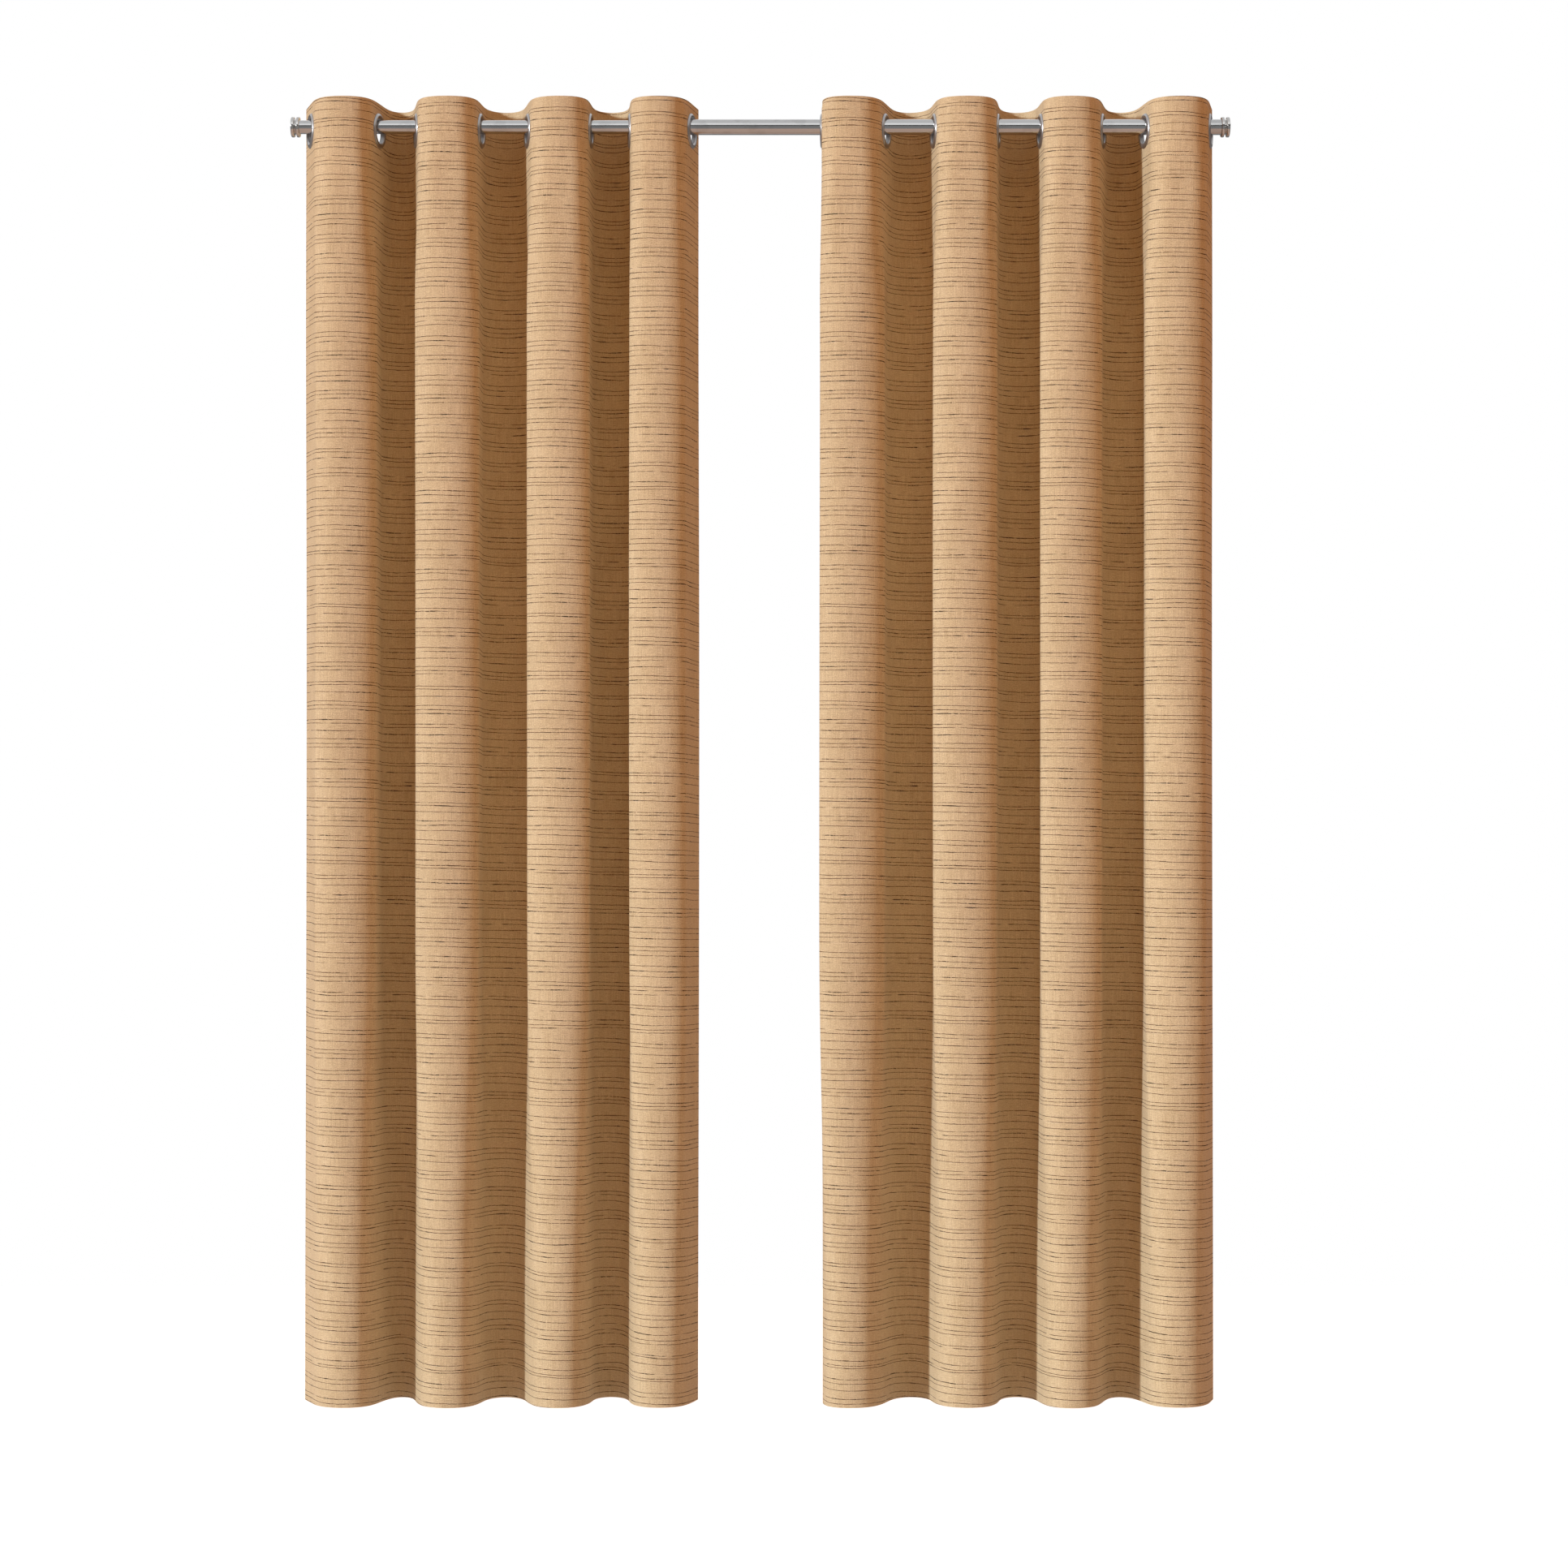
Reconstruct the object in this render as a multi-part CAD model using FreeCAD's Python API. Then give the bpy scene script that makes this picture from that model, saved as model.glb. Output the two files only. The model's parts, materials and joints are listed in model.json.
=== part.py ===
"""Two grommet curtain panels on a telescoping wall rod, in millimetres.

X runs along the rod, -Y faces the room and +Z is up. The origin is the centre of the
four wall screws, on the plane of the wall and level with the rod.
"""
import FreeCAD, Part
import math
import os
from FreeCAD import Vector

# Rod: a thin tube slides in a thick one.
rod_span = 1512.0               # end of one tube to end of the other, as hung
rod_projection = 100.0          # wall to rod axis
outer_tube_length = 914.4
tube_overlap = 278.4            # length of thin tube inside the thick one
outer_tube_diameter = 25.4
outer_tube_wall = 1.2
inner_tube_wall = 1.0
tube_slip = 0.4                 # gap between the two tubes, per side

# Finials: a spool with a plug that pushes into the tube.
finial_diameter = 33.0
finial_length = 14.0
finial_dome = 1.2
rim_width = 4.6
rim_round = 1.8
groove_depth = 4.0
plug_length = 20.0
plug_slip = 0.3

# Brackets: wall plate, arm with an open cradle, set screw under the cradle.
bracket_inset = 56.0            # tube end to bracket
plate_width = 24.0
plate_height = 76.0
plate_thickness = 3.0
screw_spacing = 50.0            # up the plate
screw_hole = 5.0
screw_neck = 4.0                # plain part through the plate
screw_shank = 4.4               # threaded part in the wall
screw_point = 5.0
screw_head = 9.0
screw_head_height = 2.8
screw_into_wall = 28.0
arm_diameter = 10.0
foot_diameter = 18.0
foot_height = 4.0
cradle_width = 16.0
cradle_wall = 3.0
cradle_lip = 5.0                # cradle sides above the rod axis
boss_diameter = 10.0
boss_height = 5.0
set_screw_diameter = 4.8
set_screw_slip = 0.25
set_screw_gap = 0.3             # tip to tube
set_screw_head = 11.0
set_screw_head_height = 7.0

# Grommet rings: a flange with a barrel, and a snap ring on the back of the cloth.
ring_diameter = 57.0
ring_bore = 40.0
ring_dome = 3.2
ring_edge = 0.6
barrel_wall = 1.6
ring_snap_gap = 0.1
ring_hang_gap = 0.8             # bore to the top of the thick tube

# Cloth panels
panel_height = 2133.6
cloth_thickness = 2.4
header_above_ring = 45.0        # ring centre to top edge
side_margin = 45.0              # ring centre to side edge, along the cloth
front_depth = 55.0              # rod axis to the front crests
back_depth = 66.0               # rod axis to the back crests
crest_gap = 1.0                 # between neighbouring folds, at the crest line
outer_ring_inset = 19.0         # tube end to first ring

# From the outer ring inwards: ring to ring along the rod, and each ring's lean.
# The first step is a front fold, the second a back fold, and so on.
left_steps = (110.0, 63.0, 104.0, 79.0, 101.0, 67.0, 99.0)
left_leans = (18.0, 12.0, 11.0, 6.0, 13.0, 4.0, 5.0, 13.0)
right_steps = (105.0, 71.0, 100.0, 72.0, 103.0, 81.0, 102.0)
right_leans = (12.0, 11.0, 13.0, 5.0, 8.0, 7.0, 16.0, -3.0)

# Worked out from the sizes above
rod_y = -rod_projection
tube_end = rod_span / 2
inner_tube_length = rod_span - outer_tube_length + tube_overlap
outer_radius = outer_tube_diameter / 2
inner_radius = outer_radius - outer_tube_wall - tube_slip
half_cloth = cloth_thickness / 2
ring_radius = ring_diameter / 2
bore_radius = ring_bore / 2
barrel_radius = bore_radius + barrel_wall
hole_radius = barrel_radius + ring_snap_gap
ring_flat = ring_radius + 0.5
ring_z = -(bore_radius - outer_radius - ring_hang_gap)
panel_top = ring_z + header_above_ring
panel_bottom = panel_top - panel_height
bracket_x = tube_end - bracket_inset

X_AXIS = Vector(1, 0, 0)
Y_AXIS = Vector(0, 1, 0)
Z_AXIS = Vector(0, 0, 1)


def tube(start_x, length, radius, wall):
    """A round tube along the rod axis."""
    start = Vector(start_x, rod_y, 0)
    outside = Part.makeCylinder(radius, length, start, X_AXIS)
    inside = Part.makeCylinder(radius - wall, length, start, X_AXIS)
    return outside.cut(inside)


def revolved(edges, origin, axis):
    """A closed outline turned once round an axis."""
    face = Part.Face(Part.Wire(edges))
    return face.revolve(origin, axis, 360)


def line(a, b):
    return Part.LineSegment(a, b).toShape()


def arc(a, b, c):
    return Part.Arc(a, b, c).toShape()


def finial(side, tube_bore_radius):
    """Spool-shaped end cap. side is -1 at the left end and 1 at the right."""
    rim = finial_diameter / 2
    plug = tube_bore_radius - plug_slip
    corner = rim_round * (1 - math.sqrt(0.5))
    face_radius = rim - rim_round
    dome_radius = (face_radius ** 2 + finial_dome ** 2) / (2 * finial_dome)
    half_way = math.asin(face_radius / dome_radius) / 2
    half_sag = dome_radius * (1 - math.cos(half_way))

    def at(out, radius):
        return Vector(side * (tube_end + out), rod_y, radius)

    edges = [
        line(at(-plug_length, 0), at(-plug_length, plug)),
        line(at(-plug_length, plug), at(0, plug)),
        line(at(0, plug), at(0, face_radius)),
        arc(at(0, face_radius), at(corner, rim - corner), at(rim_round, rim)),
        line(at(rim_round, rim), at(rim_width, rim)),
        arc(at(rim_width, rim), at(finial_length / 2, rim - groove_depth),
            at(finial_length - rim_width, rim)),
        line(at(finial_length - rim_width, rim), at(finial_length - rim_round, rim)),
        arc(at(finial_length - rim_round, rim), at(finial_length - corner, rim - corner),
            at(finial_length, face_radius)),
        arc(at(finial_length, face_radius),
            at(finial_length + finial_dome - half_sag, dome_radius * math.sin(half_way)),
            at(finial_length + finial_dome, 0)),
        line(at(finial_length + finial_dome, 0), at(-plug_length, 0)),
    ]
    return revolved(edges, Vector(0, rod_y, 0), X_AXIS)


def wall_plate(x):
    """Plate with rounded ends and two screw holes, flat on the wall."""
    straight = plate_height - plate_width
    corner = Vector(x - plate_width / 2, -plate_thickness, -straight / 2)
    plate = Part.makeBox(plate_width, plate_thickness, straight, corner)
    for end in (-1, 1):
        centre = Vector(x, -plate_thickness, end * straight / 2)
        plate = plate.fuse(Part.makeCylinder(plate_width / 2, plate_thickness, centre, Y_AXIS))
    for end in (-1, 1):
        centre = Vector(x, -plate_thickness, end * screw_spacing / 2)
        plate = plate.cut(Part.makeCylinder(screw_hole / 2, plate_thickness, centre, Y_AXIS))
    return plate.removeSplitter()


def wall_screws(x):
    """The two wood screws of one plate: domed head, plain neck, shank and point."""
    screws = []
    for end in (-1, 1):
        seat = Vector(x, -plate_thickness, end * screw_spacing / 2)
        wall = Vector(x, 0, end * screw_spacing / 2)
        shank_length = screw_into_wall - screw_point
        neck = Part.makeCylinder(screw_neck / 2, plate_thickness, seat, Y_AXIS)
        shank = Part.makeCylinder(screw_shank / 2, shank_length, wall, Y_AXIS)
        point = Part.makeCone(screw_shank / 2, 0, screw_point,
                              wall + Y_AXIS * shank_length, Y_AXIS)
        head = Part.makeCylinder(screw_head / 2, screw_head_height, seat, -Y_AXIS)
        rim = head.Edges[0]
        for edge in head.Edges:
            if edge.CenterOfMass.y < rim.CenterOfMass.y:
                rim = edge
        head = head.makeFillet(screw_head_height * 0.6, [rim])
        screws.append(head.fuse([neck, shank, point]).removeSplitter())
    return Part.makeCompound(screws)


def bracket_arm(x, tube_radius):
    """Round arm from the plate to an open cradle that fits its tube."""
    cradle_radius = tube_radius + cradle_wall
    start = Vector(x - cradle_width / 2, rod_y, 0)
    cup = Part.makeCylinder(cradle_radius, cradle_width, start, X_AXIS)
    sides = Part.makeBox(cradle_width, 2 * cradle_radius, cradle_lip,
                         Vector(start.x, rod_y - cradle_radius, 0))
    top = Part.makeBox(cradle_width, 2 * cradle_radius, cradle_radius,
                       Vector(start.x, rod_y - cradle_radius, cradle_lip))
    foot_y = -plate_thickness
    arm_length = foot_y - (rod_y + tube_radius + cradle_wall / 2)
    arm = Part.makeCylinder(arm_diameter / 2, arm_length, Vector(x, foot_y, 0), -Y_AXIS)
    foot = Part.makeCone(foot_diameter / 2, arm_diameter / 2, foot_height,
                         Vector(x, foot_y, 0), -Y_AXIS)
    boss = Part.makeCylinder(boss_diameter / 2, cradle_radius + boss_height,
                             Vector(x, rod_y, 0), -Z_AXIS)
    seat = Part.makeCylinder(tube_radius, cradle_width, start, X_AXIS)
    mouth = Part.makeBox(cradle_width, 2 * tube_radius, cradle_lip,
                         Vector(start.x, rod_y - tube_radius, 0))
    thread = Part.makeCylinder(set_screw_diameter / 2 + set_screw_slip,
                               cradle_radius + boss_height, Vector(x, rod_y, 0), -Z_AXIS)
    body = cup.fuse([sides, arm, foot, boss]).cut(top)
    return body.cut(seat).cut(mouth).cut(thread).removeSplitter()


def set_screw(x, tube_radius):
    """Thumb screw that comes up through the cradle's boss and locks the tube."""
    tip_z = -tube_radius - set_screw_gap
    under_boss = -(tube_radius + cradle_wall + boss_height + set_screw_gap)
    shank = Part.makeCylinder(set_screw_diameter / 2, tip_z - under_boss,
                              Vector(x, rod_y, tip_z), -Z_AXIS)
    head = Part.makeCylinder(set_screw_head / 2, set_screw_head_height,
                             Vector(x, rod_y, under_boss), -Z_AXIS)
    head = head.makeChamfer(0.8, [e for e in head.Edges if e.Closed])
    return head.fuse(shank).removeSplitter()


def ring_places(steps):
    """Distance of each ring from the middle of the rod, outer ring first."""
    places = [tube_end - outer_ring_inset]
    for step in steps:
        places.append(places[-1] - step)
    return places


def ring_frame(side, place, lean, number):
    """Centre of a ring and the way its face side points.

    Odd rings stand where the cloth goes forward, even ones where it comes back.
    """
    toward_middle = -side
    angle = math.radians(lean)
    facing = -1 if number % 2 else 1
    centre = Vector(side * place, rod_y, ring_z)
    normal = Vector(toward_middle * facing * math.cos(angle), -math.sin(angle), 0)
    return centre, normal


def placed(shape, centre, normal):
    """Turn a shape made along +Z to point along normal, and move it to centre."""
    shape.Placement = FreeCAD.Placement(centre, FreeCAD.Rotation(Z_AXIS, normal))
    return shape


def ring_front():
    """Domed flange on the face of the cloth, with its barrel through the hole."""
    def at(radius, height):
        return Vector(radius, 0, height)

    middle = (bore_radius + ring_radius) / 2
    barrel_end = -half_cloth - ring_dome + ring_edge
    edges = [
        line(at(bore_radius, barrel_end), at(barrel_radius, barrel_end)),
        line(at(barrel_radius, barrel_end), at(barrel_radius, half_cloth)),
        line(at(barrel_radius, half_cloth), at(ring_radius, half_cloth)),
        line(at(ring_radius, half_cloth), at(ring_radius, half_cloth + ring_edge)),
        arc(at(ring_radius, half_cloth + ring_edge), at(middle, half_cloth + ring_dome),
            at(bore_radius, half_cloth + ring_edge)),
        line(at(bore_radius, half_cloth + ring_edge), at(bore_radius, barrel_end)),
    ]
    return revolved(edges, Vector(0, 0, 0), Z_AXIS)


def ring_back():
    """Domed snap ring on the back of the cloth, round the barrel."""
    def at(radius, depth):
        return Vector(radius, 0, -half_cloth - depth)

    middle = (hole_radius + ring_radius) / 2
    edges = [
        line(at(hole_radius, 0), at(ring_radius, 0)),
        line(at(ring_radius, 0), at(ring_radius, ring_edge)),
        arc(at(ring_radius, ring_edge), at(middle, ring_dome), at(hole_radius, ring_edge)),
        line(at(hole_radius, ring_edge), at(hole_radius, 0)),
    ]
    return revolved(edges, Vector(0, 0, 0), Z_AXIS)


def half_fold(lean, reach, depth):
    """Flat, bend radius and crest flat of the cloth from a ring to a crest line.

    The cloth leaves the ring leaning by lean, and lies along the rod at the crest.
    reach is the distance to the crest along the rod, depth is across it.
    """
    sine = math.sin(lean)
    cosine = math.cos(lean)
    flat = ring_flat
    radius = (depth - flat * cosine) / (1 - sine)
    crest = reach - flat * sine - radius * cosine
    if crest < 0:
        flat = depth * cosine / (1 - sine) - reach
        radius = (reach - flat * sine) / cosine
        crest = 0
    return flat, radius, crest


def side_outline(side, place, offset, forward, ends):
    """Points of one face of a fold, and the middle points of its bends.

    offset is the distance from the middle of the cloth. ends holds, for the outer and
    the inner half, the lean and either a margin of flat cloth or a half fold.
    """
    outline = []
    for inward, (lean, shape) in zip((-1, 1), ends):
        heading = math.pi / 2 - lean
        turn_to = 1 if inward * forward > 0 else -1
        along = math.cos(heading)
        across = math.sin(heading)
        shift = offset * inward
        flat, radius, crest = shape

        def at(distance, out):
            """Point at a distance along the rod from the ring, and out from the rod."""
            x = side * (place - inward * distance)
            return Vector(x, rod_y - turn_to * out, panel_bottom)

        points = [at(flat * along - shift * across, flat * across + shift * along)]
        if radius:
            bend = radius + shift
            centre = (flat * along + radius * across, flat * across - radius * along)
            middle = heading / 2
            points.append(at(centre[0] - bend * math.sin(middle),
                             centre[1] + bend * math.cos(middle)))
            points.append(at(centre[0], centre[1] + bend))
            points.append(at(centre[0] + crest, centre[1] + bend))
        outline.append(points)
    return outline


def outline_edges(outer, inner):
    """Edges of one face of the cloth, from its outer end to its inner end."""
    edges = []
    for points, reverse in ((outer, True), (inner, False)):
        part = []
        if len(points) > 1:
            part.append(arc(points[0], points[1], points[2]))
            if points[2].distanceToPoint(points[3]) > 1e-6:
                part.append(line(points[2], points[3]))
        edges.extend(part[::-1] if reverse else part)
        if reverse:
            edges.append(line(outer[0], inner[0]))
    return edges


def fold(side, places, leans, number):
    """One rigid fold of cloth: from crest line to crest line, with its ring's hole."""
    index = number - 1
    place = places[index]
    lean = math.radians(leans[index])
    forward = 1 if number % 2 else -1
    depths = (back_depth, front_depth) if forward > 0 else (front_depth, back_depth)
    margin = (side_margin, 0, 0)
    if number == 1:
        outer_shape = margin
        outer_limit = place + side_margin
    else:
        reach = (places[index - 1] - place) / 2
        outer_shape = half_fold(lean, reach, depths[0])
        outer_limit = place + reach - crest_gap / 2
    if number == len(places):
        inner_shape = margin
        inner_limit = place - side_margin
    else:
        reach = (place - places[index + 1]) / 2
        inner_shape = half_fold(lean, reach, depths[1])
        inner_limit = place - reach + crest_gap / 2
    ends = ((lean, outer_shape), (lean, inner_shape))
    faces = [side_outline(side, place, offset, forward, ends)
             for offset in (-half_cloth, half_cloth)]
    edges = []
    for outer, inner in faces:
        edges.extend(outline_edges(outer, inner))
    for end in (0, 1):
        edges.append(line(faces[0][end][-1], faces[1][end][-1]))
    wire = Part.Wire(Part.sortEdges(edges)[0])
    cloth = Part.Face(wire).extrude(Vector(0, 0, panel_height))
    low_x = min(side * outer_limit, side * inner_limit)
    length = abs(outer_limit - inner_limit)
    slab = Part.makeBox(length, 2 * rod_projection, panel_height,
                        Vector(low_x, rod_y - rod_projection, panel_bottom))
    centre, normal = ring_frame(side, place, leans[index], number)
    hole = Part.makeCylinder(hole_radius, 4 * cloth_thickness,
                             centre - normal * 2 * cloth_thickness, normal)
    return cloth.common(slab).cut(hole)


def panel(name, side, steps, leans):
    """All folds and rings of one curtain panel, numbered from its outer edge."""
    parts = {}
    places = ring_places(steps)
    for index, place in enumerate(places):
        number = index + 1
        centre, normal = ring_frame(side, place, leans[index], number)
        parts[f"{name}_fold_{number}"] = fold(side, places, leans, number)
        parts[f"{name}_ring_front_{number}"] = placed(ring_front(), centre, normal)
        parts[f"{name}_ring_back_{number}"] = placed(ring_back(), centre, normal)
    return parts


def cloth_width(steps, leans):
    """Width of a panel laid flat."""
    width = 2 * side_margin
    for index, step in enumerate(steps):
        depth = back_depth if index % 2 else front_depth
        for lean in (math.radians(leans[index]), math.radians(leans[index + 1])):
            flat, radius, crest = half_fold(lean, step / 2, depth)
            width += flat + radius * (math.pi / 2 - lean) + crest
    return width


def build():
    """Every sub-part, by node name."""
    parts = {
        "outer_tube": tube(tube_end - outer_tube_length, outer_tube_length,
                           outer_radius, outer_tube_wall),
        "inner_tube": tube(-tube_end, inner_tube_length, inner_radius, inner_tube_wall),
    }
    ends = (("left", -1, inner_radius, inner_tube_wall),
            ("right", 1, outer_radius, outer_tube_wall))
    for name, side, radius, wall in ends:
        x = side * bracket_x
        parts[f"{name}_finial"] = finial(side, radius - wall)
        parts[f"{name}_wall_plate"] = wall_plate(x)
        parts[f"{name}_bracket_arm"] = bracket_arm(x, radius)
        parts[f"{name}_set_screw"] = set_screw(x, radius)
        parts[f"{name}_wall_screws"] = wall_screws(x)
    parts.update(panel("left", -1, left_steps, left_leans))
    parts.update(panel("right", 1, right_steps, right_leans))
    return parts


os.makedirs("parts", exist_ok=True)
shapes = build()
for node, shape in shapes.items():
    shape.exportStep(f"parts/{node}.step")
print(len(shapes), "sub-parts, tube ends at", tube_end, "brackets at", bracket_x)
print("left panel", round(cloth_width(left_steps, left_leans), 1), "mm wide laid flat")
print("right panel", round(cloth_width(right_steps, right_leans), 1), "mm wide laid flat")
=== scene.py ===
# %% [markdown]
# # Grommet curtains on a telescoping rod
# Two woven panels hang from ring to ring along a thin metal rod. The rod, its brackets
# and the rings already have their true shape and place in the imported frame, so this
# lesson loads that frame first and builds the soft and fine parts around it: the folded
# cloth, its hems and stitches, the turned finials, and every finish.

# %% Load the frame
import json
import math

import bmesh
import bpy
import numpy as np
from mathutils import Matrix, Vector
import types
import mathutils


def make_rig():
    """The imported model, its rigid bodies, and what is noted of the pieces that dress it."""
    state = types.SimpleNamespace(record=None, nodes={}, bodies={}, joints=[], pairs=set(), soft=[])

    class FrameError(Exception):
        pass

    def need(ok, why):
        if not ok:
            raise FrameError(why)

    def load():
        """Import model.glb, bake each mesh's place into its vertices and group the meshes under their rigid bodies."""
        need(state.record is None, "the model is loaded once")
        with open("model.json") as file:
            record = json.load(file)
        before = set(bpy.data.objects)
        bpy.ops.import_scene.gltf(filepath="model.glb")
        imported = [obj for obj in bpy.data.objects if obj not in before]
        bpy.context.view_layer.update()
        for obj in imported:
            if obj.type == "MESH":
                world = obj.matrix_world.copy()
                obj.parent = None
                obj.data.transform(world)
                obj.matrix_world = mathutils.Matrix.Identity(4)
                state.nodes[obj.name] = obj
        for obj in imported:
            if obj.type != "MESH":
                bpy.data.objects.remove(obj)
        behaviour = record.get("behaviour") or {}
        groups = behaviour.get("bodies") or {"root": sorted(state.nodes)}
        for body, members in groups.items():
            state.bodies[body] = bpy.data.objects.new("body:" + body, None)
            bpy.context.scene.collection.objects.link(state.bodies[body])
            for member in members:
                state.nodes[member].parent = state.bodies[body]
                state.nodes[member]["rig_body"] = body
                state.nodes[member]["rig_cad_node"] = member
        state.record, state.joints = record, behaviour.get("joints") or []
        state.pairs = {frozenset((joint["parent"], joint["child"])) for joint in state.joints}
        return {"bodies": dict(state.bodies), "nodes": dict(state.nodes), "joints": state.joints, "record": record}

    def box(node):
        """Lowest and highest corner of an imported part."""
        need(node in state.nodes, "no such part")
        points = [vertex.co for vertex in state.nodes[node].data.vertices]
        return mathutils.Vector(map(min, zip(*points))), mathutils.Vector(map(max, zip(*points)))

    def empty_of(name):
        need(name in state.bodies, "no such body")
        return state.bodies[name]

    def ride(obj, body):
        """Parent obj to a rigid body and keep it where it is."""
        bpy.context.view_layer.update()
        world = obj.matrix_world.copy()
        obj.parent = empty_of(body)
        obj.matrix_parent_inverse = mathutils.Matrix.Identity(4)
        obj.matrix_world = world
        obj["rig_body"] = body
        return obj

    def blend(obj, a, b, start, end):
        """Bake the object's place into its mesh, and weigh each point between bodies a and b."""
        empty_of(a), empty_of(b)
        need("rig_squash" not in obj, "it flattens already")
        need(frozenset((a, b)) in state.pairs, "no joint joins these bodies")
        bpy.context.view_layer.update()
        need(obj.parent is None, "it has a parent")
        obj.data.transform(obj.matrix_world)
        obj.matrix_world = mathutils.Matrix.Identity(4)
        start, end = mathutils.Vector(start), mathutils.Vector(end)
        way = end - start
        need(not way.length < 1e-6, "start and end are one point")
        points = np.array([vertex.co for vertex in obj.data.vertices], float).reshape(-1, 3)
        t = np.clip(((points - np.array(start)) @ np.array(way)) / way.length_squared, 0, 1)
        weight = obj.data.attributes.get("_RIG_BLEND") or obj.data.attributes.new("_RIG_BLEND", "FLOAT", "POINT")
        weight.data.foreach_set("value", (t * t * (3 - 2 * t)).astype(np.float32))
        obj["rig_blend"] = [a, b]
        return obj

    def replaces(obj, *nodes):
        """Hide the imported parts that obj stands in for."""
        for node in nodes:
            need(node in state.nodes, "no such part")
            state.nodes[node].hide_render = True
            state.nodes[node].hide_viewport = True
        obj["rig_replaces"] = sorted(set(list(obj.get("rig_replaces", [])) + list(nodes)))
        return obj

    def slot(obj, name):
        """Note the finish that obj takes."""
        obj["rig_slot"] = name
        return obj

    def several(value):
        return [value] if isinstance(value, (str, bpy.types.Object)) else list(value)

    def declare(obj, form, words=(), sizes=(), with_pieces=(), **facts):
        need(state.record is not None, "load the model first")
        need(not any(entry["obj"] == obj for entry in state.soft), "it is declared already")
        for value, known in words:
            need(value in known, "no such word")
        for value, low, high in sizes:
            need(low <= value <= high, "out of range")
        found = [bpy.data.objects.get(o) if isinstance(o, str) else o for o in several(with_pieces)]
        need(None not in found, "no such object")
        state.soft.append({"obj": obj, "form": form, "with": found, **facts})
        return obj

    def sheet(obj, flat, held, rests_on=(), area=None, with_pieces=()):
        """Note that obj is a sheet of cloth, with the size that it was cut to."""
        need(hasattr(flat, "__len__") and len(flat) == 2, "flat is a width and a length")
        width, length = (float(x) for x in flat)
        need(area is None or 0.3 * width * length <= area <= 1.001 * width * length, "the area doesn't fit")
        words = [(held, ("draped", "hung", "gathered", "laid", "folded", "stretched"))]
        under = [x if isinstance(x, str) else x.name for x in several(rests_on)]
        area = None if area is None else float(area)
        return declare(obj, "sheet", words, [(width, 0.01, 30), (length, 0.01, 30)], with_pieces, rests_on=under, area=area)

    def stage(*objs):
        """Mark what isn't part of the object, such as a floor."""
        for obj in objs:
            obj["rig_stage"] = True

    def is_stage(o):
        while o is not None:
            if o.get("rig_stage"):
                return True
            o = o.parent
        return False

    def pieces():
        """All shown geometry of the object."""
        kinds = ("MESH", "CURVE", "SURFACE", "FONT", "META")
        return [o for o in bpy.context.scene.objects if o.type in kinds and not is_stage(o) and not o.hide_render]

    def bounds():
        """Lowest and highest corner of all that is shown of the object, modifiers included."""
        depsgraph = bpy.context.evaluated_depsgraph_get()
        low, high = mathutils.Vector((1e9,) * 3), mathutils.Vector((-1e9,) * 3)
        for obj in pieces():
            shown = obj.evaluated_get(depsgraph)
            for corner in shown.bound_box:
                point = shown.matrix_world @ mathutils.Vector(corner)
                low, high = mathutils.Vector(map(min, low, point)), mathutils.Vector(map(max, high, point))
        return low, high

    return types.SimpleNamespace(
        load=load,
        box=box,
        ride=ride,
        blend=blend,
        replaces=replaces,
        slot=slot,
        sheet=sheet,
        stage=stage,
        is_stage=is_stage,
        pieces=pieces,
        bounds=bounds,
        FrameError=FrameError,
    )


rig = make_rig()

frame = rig.load()
cad_box = [list(corner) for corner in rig.bounds()]
nodes = frame["nodes"]
joints = {joint["name"]: joint for joint in frame["joints"]}
print(len(nodes), "nodes,", len(joints), "joints, box", cad_box)

# %% [markdown]
# ## Where the rings hang
# Each panel threads eight rings. The first ring is the axis of the panel's draw joint,
# and every crest line lies midway between two rings, so each next ring follows from the
# crest joints. How far a ring leans away from square to the rod is read off its own
# mesh: the direction in which a ring is thinnest is its axis.

# %% Ring places and leans
FOLDS = 8
toward_middle = {"left": 1, "right": -1}
rod_y = joints["left_draw"]["pos_m"][1]
ring_z = joints["left_draw"]["pos_m"][2]


def ring_places(side):
    """X of each ring centre, outer ring first."""
    places = [joints[f"{side}_draw"]["pos_m"][0]]
    for number in range(1, FOLDS):
        crest_x = joints[f"{side}_crest_{number}"]["pos_m"][0]
        places.append(2 * crest_x - places[-1])
    return places


def ring_lean(side, number):
    """Lean of one ring in radians, from the thinnest direction of its mesh."""
    mesh = nodes[f"{side}_ring_front_{number}"].data
    points = np.array([v.co for v in mesh.vertices], float)
    points -= (points.max(0) + points.min(0)) / 2
    axis = np.linalg.svd(points, full_matrices=False)[2][-1]
    faces = toward_middle[side] * (-1 if number % 2 else 1)
    if axis[0] * faces < 0:
        axis = -axis
    return math.asin(-axis[1])


rings = {side: ring_places(side) for side in toward_middle}
leans = {side: [ring_lean(side, n + 1) for n in range(FOLDS)] for side in toward_middle}
for side in toward_middle:
    print(side, [round(x, 4) for x in rings[side]],
          [round(math.degrees(lean), 1) for lean in leans[side]])

# %% [markdown]
# ## How the header band folds
# At the top the cloth is a stiff double band held flat by its rings. Between two rings it
# leaves one ring straight, bends round, and comes back to the next: a row of flats and
# arcs. Seen from above, that is a line whose heading changes steadily round each bend, so
# the whole fold can be written as heading against distance along the cloth. Walking that
# line in one-millimetre steps gives the place of every thread of the header.

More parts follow.
